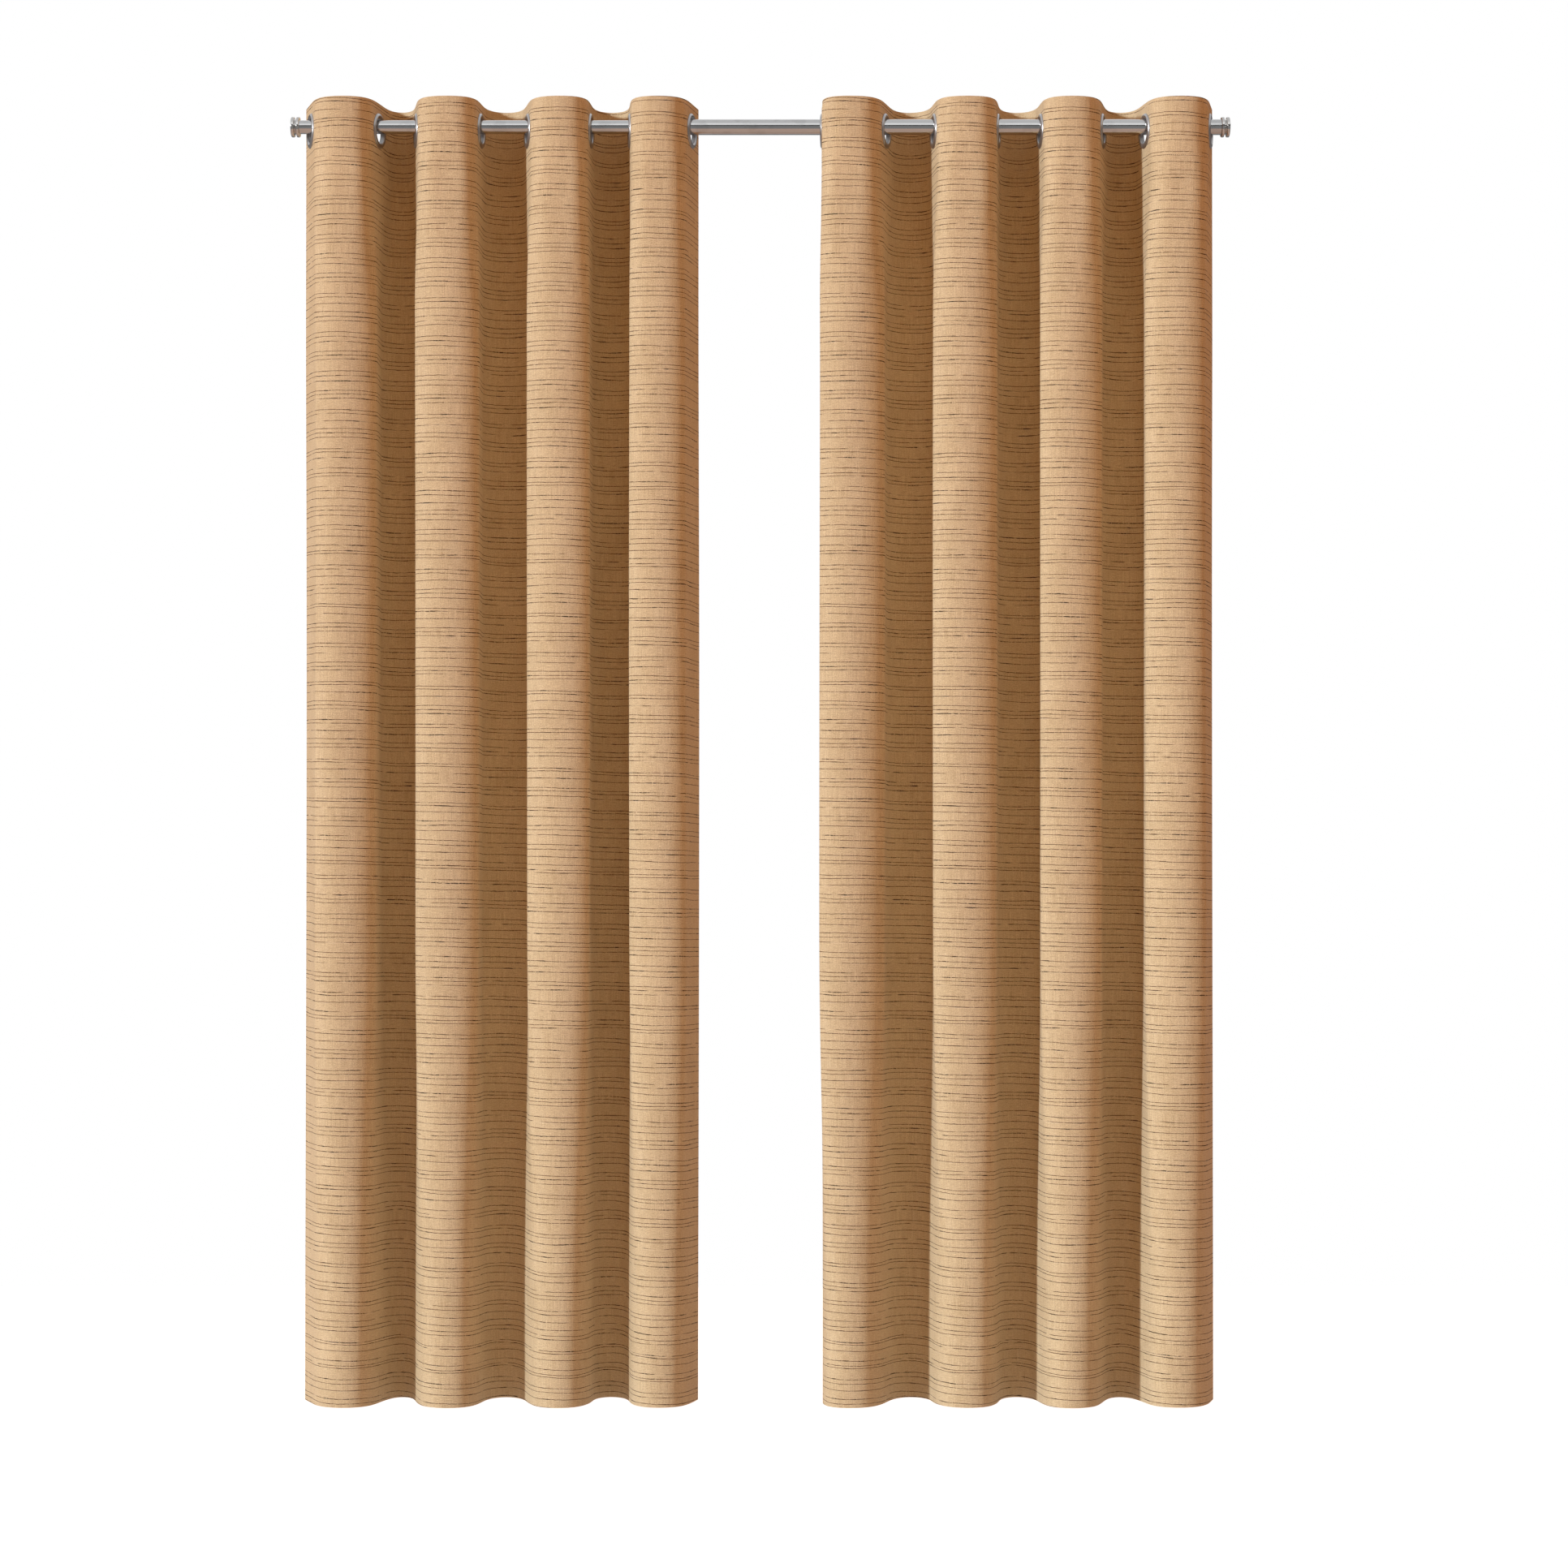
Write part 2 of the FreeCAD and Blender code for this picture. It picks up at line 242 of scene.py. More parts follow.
# %% Sizes of the cloth
panel_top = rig.box("left_fold_1")[1].z
panel_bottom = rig.box("left_fold_1")[0].z
drop = panel_top - panel_bottom
front_depth = rod_y - joints["left_crest_1"]["pos_m"][1]
back_depth = joints["left_crest_2"]["pos_m"][1] - rod_y
ring_flat = 0.029
side_margin = 0.045
free_lean = 0.01
free_corner = 0.013
tight_arch, broad_arch, back_arch = 0.85, 0.74, 1.57
header_band = 0.098
bottom_hem = 0.088
side_hem = 0.025
face_offset = 0.0012
print("drop", round(drop, 4), "depth", round(front_depth, 4), round(back_depth, 4))


# %% Header line of one panel
def half_fold(lean, reach, depth):
    """Lengths and end headings from a ring to the crest line beside it: flat, bend, flat."""
    sine, cosine = math.sin(lean), math.cos(lean)
    flat = ring_flat
    radius = (depth - flat * cosine) / (1 - sine)
    crest = reach - flat * sine - radius * cosine
    if crest < 0:
        flat = depth * cosine / (1 - sine) - reach
        radius = (reach - flat * sine) / cosine
        crest = 0
    steep = math.pi / 2 - lean
    return [(flat, steep), (radius * steep, 0), (crest, 0)]


def free_half(lean, reach, length, arch):
    """Flank, tight corner and broad arch of the same length, for the cloth below."""
    steep = math.pi / 2 - lean
    arch = min(arch, steep)
    corner = free_corner * (steep - arch)
    corner_reach = free_corner * (math.sin(steep) - math.sin(arch))
    arch_reach = reach - corner_reach - (length - corner) * math.sin(lean)
    radius = arch_reach / (math.sin(arch) - arch * math.sin(lean))
    return [(length - corner - radius * arch, steep), (corner, arch), (radius * arch, 0)]


def fold_line(side, free):
    """Distances along the cloth, heading at each, and where each ring sits."""
    turns = leans[side]
    stops, headings = [0.0, side_margin], [math.pi / 2 - turns[0]] * 2
    ring_at = [side_margin]
    for number in range(FOLDS - 1):
        in_front = number % 2 == 0
        depth = front_depth if in_front else back_depth
        reach = abs(rings[side][number + 1] - rings[side][number]) / 2
        for end in (0, 1):
            lean = turns[number + end]
            parts = half_fold(lean, reach, depth)
            if free:
                length = sum(part[0] for part in parts)
                left_hand = (end == 0) == (toward_middle[side] > 0)
                front_arch = tight_arch if left_hand else broad_arch
                outermost = number + end in (0, FOLDS - 1)
                parts = free_half(lean if outermost else free_lean, reach, length,
                                  front_arch if in_front else back_arch)
            (flat, steep), (bend, arch), (crest, _) = parts
            if end == 1:
                parts = [(crest, arch), (bend, steep), (flat, steep)]
            sign = 1 if in_front == (end == 0) else -1
            for length, heading in parts:
                stops.append(stops[-1] + length)
                headings.append(sign * heading)
        ring_at.append(stops[-1])
    stops.append(stops[-1] + side_margin)
    headings.append(headings[-1])
    return np.array(stops), np.array(headings), ring_at


STEP = 0.001


def walk(side, free=False):
    """A fold line as points: distance, X, Y, and the ring distances; rings pinned."""
    stops, headings, ring_at = fold_line(side, free)
    along = np.arange(0, stops[-1] + STEP / 2, STEP)
    middle = np.interp(along[:-1] + STEP / 2, stops, headings)
    x = toward_middle[side] * np.concatenate([[0], np.cumsum(np.cos(middle)) * STEP])
    y = -np.concatenate([[0], np.cumsum(np.sin(middle)) * STEP])
    miss_x = [place - np.interp(at, along, x) for at, place in zip(ring_at, rings[side])]
    miss_y = [rod_y - np.interp(at, along, y) for at in ring_at]
    x += np.interp(along, ring_at, miss_x)
    y += np.interp(along, ring_at, miss_y)
    return along, x, y, ring_at


lines = {side: walk(side) for side in toward_middle}
free_lines = {side: walk(side, True) for side in toward_middle}
for side, (along, x, y, ring_at) in lines.items():
    print(side, "cloth width", round(float(along[-1]), 4), "depth in the band",
          round(float(y.max() - y.min()), 4), "below it",
          round(float(free_lines[side][2].max() - free_lines[side][2].min()), 4))

# %% [markdown]
# ## How the folds fall
# Between the rings the band is held flat only as far as the rings reach, so its top edge
# runs in a rounder wave. Below the band the cloth is single and free: each front opens
# into a broad arch with a tighter corner to either side, and the flanks stand square to
# the wall. Towards the hem the arches and corners even out to a soft wave. So the cloth
# has three lines, one for the band, one for the free part and one for the hem, and each
# thread passes smoothly from one to the next. A cloth simulation could find such shapes
# too, but each fold has to start exactly at its ring, so placing the threads is steadier.

# %% Rounded lines and the way down
fold_middle = rod_y + (back_depth - front_depth) / 2


def rounded(values, spread):
    """A line averaged over a spread to each side, its ends carried on."""
    reach = int(3 * spread / STEP)
    weights = np.exp(-0.5 * (np.arange(-reach, reach + 1) * STEP / spread) ** 2)
    weights /= weights.sum()
    before = 2 * values[0] - values[reach:0:-1]
    after = 2 * values[-1] - values[-2:-reach - 2:-1]
    return np.convolve(np.concatenate([before, values, after]), weights, "valid")


def smooth(low, high, value):
    """0 below low, 1 above high, and an even S between them."""
    t = np.clip((value - low) / (high - low), 0, 1)
    return t * t * (3 - 2 * t)


def soft_line(side, spread):
    """The band line rounded, deepened back to the depth it had, its ends left alone."""
    grid, x, y, ring_at = lines[side]
    soft_x, soft_y = rounded(x, spread), rounded(y, spread)
    deeper = (front_depth + back_depth) / (soft_y.max() - soft_y.min())
    soft_y = fold_middle + (soft_y - (soft_y.max() + soft_y.min()) / 2) * deeper
    ends = smooth(ring_at[0] - 0.03, ring_at[0] + 0.03, grid)
    ends = ends * (1 - smooth(ring_at[-1] - 0.03, ring_at[-1] + 0.03, grid))
    return x + ends * (soft_x - x), y + ends * (soft_y - y)


top_lines = {side: soft_line(side, 0.017) for side in lines}
hem_lines = {side: soft_line(side, 0.030) for side in lines}
free_slant = {"left": 0.0, "right": -0.09}


def sway(side, along, down):
    """Slow unevenness of a free fold, in metres along the rod and out from it."""
    turn = 0.0 if side == "left" else 1.7
    free = smooth(0.12, 0.9, down)
    wave = np.sin(9.1 * along + 2.3 * down + turn) + 0.6 * np.sin(23 * along - 3.1 * down)
    other = np.sin(14.3 * along + 1.9 * down + 2 * turn)
    return free * 0.0012 * other, free * 0.0020 * wave


def hang(side, along, down):
    """Middle of the cloth at a distance along it and down it."""
    grid, x, y, ring_at = lines[side]
    near = np.min([abs(along - at) for at in ring_at], axis=0)
    top = 1 - smooth(0.0, 0.016, down)
    crest = smooth(0.030, 0.055, near) * (1 - smooth(0.05, 0.14, down))
    place = np.interp(along, grid, x), np.interp(along, grid, y)
    below = free_lines[side][1:3]
    for line, share in ((top_lines[side], np.maximum(top, crest)),
                        (below, smooth(0.10, 0.34, down)),
                        (hem_lines[side], smooth(1.35, 2.05, down))):
        there = np.interp(along, grid, line[0]), np.interp(along, grid, line[1])
        place = [old + share * (new - old) for old, new in zip(place, there)]
    px, py = place
    py = fold_middle + (py - fold_middle) * (1 - 0.13 * smooth(0.10, 0.45, down))
    inside = smooth(ring_at[0] - 0.04, ring_at[0] + 0.03, along)
    inside = inside * (1 - smooth(ring_at[-1] - 0.03, ring_at[-1] + 0.04, along))
    hangs_free = smooth(0.10, 0.34, down) * (1 - smooth(1.45, 2.05, down))
    px = px + free_slant[side] * hangs_free * inside * (fold_middle - py)
    sway_x, sway_y = sway(side, along, down)
    loose = smooth(0.0, 0.04, near)
    return px + sway_x * loose, py + sway_y * loose


middle = hang("left", np.array([0.2]), np.array([1.0]))
print("a thread of the left panel one metre down:", [round(float(c[0]), 4) for c in middle])


# %% [markdown]
# ## Cloth in strips
# Each panel is one woven width, but its folds hinge on one another when it is drawn
# along the rod. A strip that runs from the middle of one ring to the middle of the next
# follows exactly two folds, so seven strips that share their edges look and move like
# one cloth. Each strip starts as a flat grid, loses the faces inside the ring holes, and
# is then hung. A Solidify modifier gives it thickness, with a vertex group that makes
# the header and the hems, which are folded double, thicker than the single cloth.

# %% Rows and columns of a strip
hole_radius = 0.0217
cloth_full = 0.0024
at_fold, by_fold, at_seam = 0.0012, 0.003, 0.0008
fine_step = 0.0034
hem_share, single_share = 0.72, 0.36


def spaced(low, high, pitch):
    """Even places from low to high, about one pitch apart."""
    count = max(1, round((high - low) / pitch))
    return list(np.linspace(low, high, count + 1))[:-1]


def row_places():
    """Heights of the rows, measured down from the top edge."""
    hem_top = drop - bottom_hem
    rows = [0.0, at_fold] + spaced(by_fold, header_band - by_fold, fine_step)
    rows += [header_band - by_fold, header_band - at_fold, header_band, header_band + at_fold,
             header_band + by_fold]
    rows += spaced(header_band + 0.010, hem_top - 0.010, 0.012)
    rows += [hem_top - 0.010, hem_top - by_fold, hem_top - at_fold, hem_top, hem_top + at_fold,
             hem_top + by_fold]
    rows += spaced(hem_top + 0.010, drop - by_fold, 0.010)
    rows += [drop - by_fold, drop - at_fold, drop]
    return np.array(rows)


def column_places(ring_at, width, number):
    """Places along the cloth of a strip's columns."""
    low = 0.0 if number == 1 else ring_at[number - 1]
    high = width if number == FOLDS - 1 else ring_at[number]
    if number == 1:
        columns = [0.0, at_fold] + spaced(by_fold, side_hem - by_fold, fine_step)
        columns += [side_hem - by_fold, side_hem - at_fold, side_hem, side_hem + at_fold]
        columns += spaced(side_hem + by_fold, ring_at[0] - at_seam, fine_step)
        columns += [ring_at[0] - at_seam]
        low = ring_at[0]
    else:
        columns = []
    inner = high if number < FOLDS - 1 else ring_at[-1]
    columns += [low, low + at_seam] + spaced(low + by_fold, inner - by_fold, fine_step)
    columns += [inner - by_fold, inner - at_seam, inner]
    if number == FOLDS - 1:
        edge = width - side_hem
        columns += [inner + at_seam] + spaced(inner + by_fold, edge - at_fold, fine_step)
        columns += [edge - at_fold, edge, edge + at_fold, edge + by_fold]
        columns += spaced(edge + 0.006, width - by_fold, fine_step)
        columns += [width - by_fold, width - at_fold, width]
    return np.array(columns)


rows = row_places()
print(len(rows), "rows,", len(column_places(lines["left"][3], lines["left"][0][-1], 2)),
      "columns in an inner strip")


# %% Flat grid with its ring holes
def flat_strip(columns, rows, holes):
    """A grid in cloth measure: x along the cloth, y down it, holes cut out."""
    bm = bmesh.new()
    across, down = len(columns) - 1, len(rows) - 1
    bmesh.ops.create_grid(bm, x_segments=across, y_segments=down, size=1)
    for vert in bm.verts:
        column = round((vert.co.x + 1) / 2 * across)
        row = round((vert.co.y + 1) / 2 * down)
        vert.co = Vector((columns[column], rows[row], 0))
    for at, depth in holes:
        centre = Vector((at, depth, 0))
        inside = [v for v in bm.verts if (v.co - centre).length < hole_radius + 0.0006]
        bmesh.ops.delete(bm, geom=inside, context="VERTS")
        for vert in bm.verts:
            away = vert.co - centre
            if away.length < hole_radius + 0.0055 and vert.is_boundary:
                on_seam = abs(vert.co.x - at) < 1e-6
                if on_seam or 1e-6 < vert.co.x - columns[0] < columns[-1] - columns[0] - 1e-6:
                    vert.co = centre + away.normalized() * hole_radius
    return bm


# %% Hang a strip
ring_depth = panel_top - ring_z


def hang_points(side, points, lift=face_offset):
    """Places in the room of points given in cloth measure, lifted off the middle."""
    along, down = points[:, 0], points[:, 1]
    x, y = hang(side, along, down)
    x1, y1 = hang(side, along - 0.0005, down)
    x2, y2 = hang(side, along + 0.0005, down)
    tangent = np.stack([x2 - x1, y2 - y1], 1)
    tangent /= np.linalg.norm(tangent, axis=1)[:, None]
    facing = np.stack([tangent[:, 1], -tangent[:, 0]], 1) * toward_middle[side]
    place = np.stack([x, y], 1) + facing * lift
    return np.column_stack([place, panel_top - down]), facing


def thickness_share(along, down, width):
    """Share of the full header thickness that the cloth has at a place."""
    edge = np.minimum(along, width - along)
    header = 1 - smooth(header_band - 0.0005, header_band + at_fold, down)
    foot = smooth(drop - bottom_hem - at_fold, drop - bottom_hem + 0.0005, down)
    side = 1 - smooth(side_hem - 0.0005, side_hem + at_fold, edge)
    single = np.full_like(along, single_share)
    return np.maximum.reduce([header, hem_share * foot, hem_share * side, single])


def closed_mesh(piece, sharp=50):
    """Applies the modifiers of a piece and marks its square edges."""
    graph = bpy.context.evaluated_depsgraph_get()
    made = bpy.data.meshes.new_from_object(piece.evaluated_get(graph))
    made.name = piece.name
    piece.modifiers.clear()
    piece.data = made
    made.shade_smooth()
    made.set_sharp_from_angle(angle=math.radians(sharp))
    return piece


def new_piece(name, bm):
    """An object for a finished bmesh, smooth shaded, linked to the scene."""
    mesh = bpy.data.meshes.new(name)
    bm.to_mesh(mesh)
    bm.free()
    mesh.shade_smooth()
    piece = bpy.data.objects.new(name, mesh)
    bpy.context.scene.collection.objects.link(piece)
    return piece


def cloth_strip(side, number):
    """One strip of a panel, from ring to ring, hung and thickened."""
    along, _, _, ring_at = lines[side]
    width = along[-1]
    columns = column_places(ring_at, width, number)
    holes = [(ring_at[number - 1], ring_depth), (ring_at[number], ring_depth)]
    bm = flat_strip(columns, rows, holes)
    flat = np.array([v.co for v in bm.verts])
    uv = bm.loops.layers.uv.new("Cloth")
    for face in bm.faces:
        for loop in face.loops:
            u, v = loop.vert.co.x, loop.vert.co.y
            loop[uv].uv = (u if side == "left" else width - u, v)
    hung, facing = hang_points(side, flat)
    for vert, place in zip(bm.verts, hung):
        vert.co = place
    bm.normal_update()
    bm.faces.ensure_lookup_table()
    first = bm.faces[len(bm.faces) // 2]
    toward = facing[first.verts[0].index]
    if first.normal.x * toward[0] + first.normal.y * toward[1] < 0:
        bmesh.ops.reverse_faces(bm, faces=bm.faces)
    piece = new_piece(f"{side}_cloth_{number}", bm)
    group = piece.vertex_groups.new(name="thickness")
    shares = thickness_share(flat[:, 0], flat[:, 1], width)
    for index, share in enumerate(shares):
        group.add([index], float(share), "REPLACE")
    solid = piece.modifiers.new("Thickness", "SOLIDIFY")
    solid.thickness = cloth_full
    solid.offset = -1
    solid.vertex_group = "thickness"
    return closed_mesh(piece)


strips = {(side, n): cloth_strip(side, n) for side in toward_middle for n in range(1, FOLDS)}
print(len(strips), "strips,", sum(len(s.data.polygons) for s in strips.values()), "faces")


# %% [markdown]
# ## Stitches
# The header band, the bottom hem and the side hems are each held by a row of straight
# stitches, a few millimetres long, in thread a shade lighter than the cloth. Every
# stitch is one small stretched icosphere, set along the row, half sunk in the cloth, on
# the face and again on the back. A row is cut where the strips meet, so the stitches
# bend with the cloth they hold.

# %% Stitch rows
stitch_pitch = 0.0032
stitch_length = 0.0023
stitch_width = 0.0010


def stitch_rows(side, number):
    """Middle points of a strip's stitches in cloth measure, with their direction."""
    along, _, _, ring_at = lines[side]
    width = along[-1]
    low = 0.004 if number == 1 else ring_at[number - 1] + stitch_pitch / 2
    high = width - 0.004 if number == FOLDS - 1 else ring_at[number]
    level = [(u, v, 0.0) for u in np.arange(low, high, stitch_pitch)
             for v in (header_band - 0.002, drop - bottom_hem + 0.002)]
    upright = []
    if number == 1:
        upright = [(side_hem - 0.002, v, 1.0) for v in np.arange(0.004, drop - 0.004, stitch_pitch)]
    if number == FOLDS - 1:
        upright = [(width - side_hem + 0.002, v, 1.0)
                   for v in np.arange(0.004, drop - 0.004, stitch_pitch)]
    return np.array(level + upright)


def stitches(side, number):
    """Both faces' stitches of one strip as one piece."""
    places = stitch_rows(side, number)
    share = thickness_share(places[:, 0], places[:, 1], lines[side][0][-1])
    bm = bmesh.new()
    for back in (0, 1):
        lift = face_offset - back * cloth_full * share
        hung, facing = hang_points(side, places, lift[:, None])
        for place, toward, (_, _, upright) in zip(hung, facing, places):
            out = Vector((toward[0], toward[1], 0))
            run = Vector((0, 0, 1)) if upright else out.cross(Vector((0, 0, 1)))
            turn = Matrix((run, out.cross(run), out)).transposed().to_4x4()
            size = Matrix.Diagonal((stitch_length / 2, stitch_width / 2, stitch_width / 2, 1))
            bmesh.ops.create_icosphere(bm, subdivisions=1, radius=1,
                                       matrix=Matrix.Translation(place) @ turn @ size)
    return new_piece(f"{side}_stitches_{number}", bm)


threads = {key: stitches(*key) for key in strips}
print(sum(len(t.data.polygons) for t in threads.values()) // 20, "stitches")


# %% [markdown]
# ## Cloth on the frame
# A strip follows the fold of its first ring up to that ring, the fold of its next ring
# from there on, and turns evenly between them, so the panel draws like bellows. Its
# stitches do the same. Each strip stands for the plain fold it covers, and each is
# declared as the piece of woven cloth it was cut as.

# %% Strips follow their folds
for (side, number), strip in strips.items():
    inward = toward_middle[side]
    start_x, end_x = rings[side][number - 1], rings[side][number]
    clear = [max(0.008, 0.029 * abs(math.sin(leans[side][n])) + 0.001)
             for n in (number - 1, number)]
    start = (start_x + inward * clear[0], rod_y, ring_z)
    end = (end_x - inward * clear[1], rod_y, ring_z)
    bodies = (f"{side}_fold_{number}", f"{side}_fold_{number + 1}")
    for piece in (strip, threads[side, number]):
        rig.blend(piece, *bodies, start=start, end=end)
        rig.slot(piece, "cloth")
    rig.replaces(strip, f"{side}_fold_{number}")
    if number == FOLDS - 1:
        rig.replaces(strip, f"{side}_fold_{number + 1}")
    along, _, _, ring_at = lines[side]
    low = 0 if number == 1 else ring_at[number - 1]
    high = along[-1] if number == FOLDS - 1 else ring_at[number]
    tube = "inner_tube" if side == "left" else "outer_tube"
    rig.sheet(strip, flat=(float(high - low), float(drop)), held="hung", rests_on=[tube],
             with_pieces=[threads[side, number]])
print("strips blended across", len(strips), "crests")


# %% [markdown]
# ## Turned finials
# A finial is a small spool: two rounded rims with a hollow between them and a slightly
# domed face, turned from one bar and plated. Turning is what spin does: half of the
# outline is drawn as a row of points and swept once round the rod's axis. The plug that
# holds it in the tube is part of the same outline.

# %% Spin the finials
def spool_outline(radius, length, plug_radius, plug_length):
    """Points (out along the rod, radius) of half a finial, from plug to face."""
    points = [(-plug_length, 0), (-plug_length, plug_radius - 0.0008),
              (-plug_length + 0.0008, plug_radius), (0, plug_radius)]
    rim, round_over, dip = 0.0046, 0.0018, 0.0040

    def corner(centre, start, end, steps=6):
        for i in range(steps + 1):
            turn = math.radians(start + (end - start) * i / steps)
            points.append((centre[0] + round_over * math.cos(turn),
                           centre[1] + round_over * math.sin(turn)))

    corner((round_over, radius - round_over), 180, 90)
    corner((rim - 0.0010, radius - round_over), 90, 40, 4)
    for i in range(1, 12):
        t = i / 12
        points.append((rim + 0.0004 + (length - 2 * rim - 0.0008) * t,
                       radius - 0.0007 - dip * math.sin(math.pi * t) ** 0.8))
    corner((length - rim + 0.0010, radius - round_over), 140, 90, 4)
    corner((length - round_over, radius - round_over), 90, 0)
    face = radius - round_over
    for i in range(1, 7):
        t = i / 6
        points.append((length + 0.0012 * math.sin(math.pi / 2 * t), face * (1 - t)))
    return points


def finial(side):
    """A finial at the end of its tube."""
    low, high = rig.box(f"{side}_finial")
    out = -toward_middle[side]
    tube_low, tube_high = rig.box("inner_tube" if side == "left" else "outer_tube")
    tube_end = tube_low.x if side == "left" else tube_high.x
    radius = (high.z - low.z) / 2
    length = (high.x - tube_end if side == "right" else tube_end - low.x) - 0.0012
    plug_length = tube_end - low.x if side == "right" else high.x - tube_end
    plug_radius = 0.0099 if side == "left" else 0.0112
    bm = bmesh.new()
    edges = []
    last = None
    for distance, height in spool_outline(radius, length, plug_radius, plug_length):
        vert = bm.verts.new((tube_end + out * distance, rod_y, max(height, 0)))
        if last:
            edges.append(bm.edges.new((last, vert)))
        last = vert
    bmesh.ops.spin(bm, geom=list(bm.verts) + edges, cent=(0, rod_y, 0), axis=(1, 0, 0),
                   angle=2 * math.pi, steps=72, use_merge=True)
    bmesh.ops.remove_doubles(bm, verts=bm.verts, dist=1e-6)
    bmesh.ops.recalc_face_normals(bm, faces=bm.faces)
    piece = new_piece(f"{side}_finial_spool", bm)
    piece.data.set_sharp_from_angle(angle=math.radians(50))
    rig.ride(piece, f"{side}_finial")
    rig.replaces(piece, f"{side}_finial")
    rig.slot(piece, "finial")
    return piece


finials = [finial(side) for side in toward_middle]
print("finial faces", [len(f.data.polygons) for f in finials])

# %% [markdown]
# ## Finishes as node groups
# Several finishes need the same effects: yarns in a weave, fine wear in a plated
# surface. Each effect is built once as a node group with named inputs and outputs, and
# each material gives it its own values. Short helpers keep the node code readable: one
# makes a group with its sockets, one adds a node and fills its inputs, and one does
# arithmetic.

# %% Node helpers
SOCKETS = {"float": "NodeSocketFloat", "color": "NodeSocketColor", "vector": "NodeSocketVector"}


def effect(name, inputs, outputs):
    """A shader node group with named sockets; inputs give (kind, default)."""
    tree = bpy.data.node_groups.new(name, "ShaderNodeTree")
    for label, (kind, default) in inputs.items():
        socket = tree.interface.new_socket(name=label, in_out="INPUT", socket_type=SOCKETS[kind])
        if default is not None:
            socket.default_value = default
    for label, kind in outputs.items():
        tree.interface.new_socket(name=label, in_out="OUTPUT", socket_type=SOCKETS[kind])
    return tree, tree.nodes.new("NodeGroupInput").outputs, tree.nodes.new("NodeGroupOutput").inputs


def add(tree, kind, settings=None, **inputs):
    """A node with its settings, and its inputs given as values or as sockets."""
    made = tree.nodes.new(kind)
    for key, value in (settings or {}).items():
        setattr(made, key, value)
    for key, value in inputs.items():
        fill(tree, made.inputs[key.replace("_", " ")], value)
    return made


def fill(tree, socket, value):
    """A socket takes a link from another socket, or a plain value."""
    if isinstance(value, bpy.types.NodeSocket):
        tree.links.new(value, socket)
    else:
        socket.default_value = value


def calc(tree, operation, *values):
    """One arithmetic node; returns its output."""
    made = tree.nodes.new("ShaderNodeMath")
    made.operation = operation
    for socket, value in zip(made.inputs, values):
        fill(tree, socket, value)
    return made.outputs[0]


def ease(tree, value, low, high, start=0.0, end=1.0):
    """A smooth step from start at low to end at high."""
    made = add(tree, "ShaderNodeMapRange", {"interpolation_type": "SMOOTHSTEP"})
    for socket, number in zip(made.inputs, (value, low, high, start, end)):
        fill(tree, socket, number)
    return made.outputs[0]


def grain(tree, x, y, detail=0.0, z=0.0):
    """Soft noise at a place given in noise cells, about 0.5 on average."""
    place = add(tree, "ShaderNodeCombineXYZ", X=x, Y=y, Z=z)
    made = add(tree, "ShaderNodeTexNoise", {"noise_dimensions": "3D"},
               Vector=place.outputs[0], Scale=1.0, Detail=detail)
    return made.outputs[0]


def tint(tree, factor, first, second, blend="MIX"):
    """Two colours mixed by a factor; returns the result."""
    made = tree.nodes.new("ShaderNodeMix")
    made.data_type = "RGBA"
    made.blend_type = blend
    fill(tree, made.inputs["Factor"], factor)
    colours = [socket for socket in made.inputs if socket.type == "RGBA"]
    fill(tree, colours[0], first)
    fill(tree, colours[1], second)
    return [socket for socket in made.outputs if socket.type == "RGBA"][0]


# %% [markdown]
# ## Slub stripes
# The cloth gets its look from dark slub yarns in the weft. They lie in groups of three
# that repeat about every three centimetres, with two spacings in turn. Each yarn shows
# in dashes: it dives under the warp and comes back, thick and black in some places and
# thin and brown in others, with a cream slub beside it here and there. In the group
# below, six yarn positions repeat down the cloth. The nearest yarn to a place gives its
# distance, and its number picks a different stretch of noise for its dashes.

# %% Slub stripe effect
stripes, has, gives = effect(
    "Slub stripes",
    {"Cloth": ("vector", None), "Repeat": ("float", 63.2), "Skew": ("float", 0.022),
     "Yarn Width": ("float", 0.76)},
    {"Dark": "float", "Black": "float", "Cream": "float", "Relief": "float"})
spot = add(stripes, "ShaderNodeSeparateXYZ", Vector=has["Cloth"]).outputs
across = calc(stripes, "MULTIPLY", spot[0], 1000)
down = calc(stripes, "MULTIPLY", spot[1], 1000)
slow = grain(stripes, calc(stripes, "DIVIDE", across, 70), calc(stripes, "DIVIDE", down, 30))
quick = grain(stripes, calc(stripes, "DIVIDE", across, 8), calc(stripes, "DIVIDE", down, 6), z=4)
level = calc(stripes, "SUBTRACT", down, calc(stripes, "MULTIPLY", across, has["Skew"]))
level = calc(stripes, "MULTIPLY_ADD", calc(stripes, "SUBTRACT", slow, 0.5), 3.0, level)
level = calc(stripes, "MULTIPLY_ADD", calc(stripes, "SUBTRACT", quick, 0.5), 0.9, level)
nearest, offset, number = None, None, None
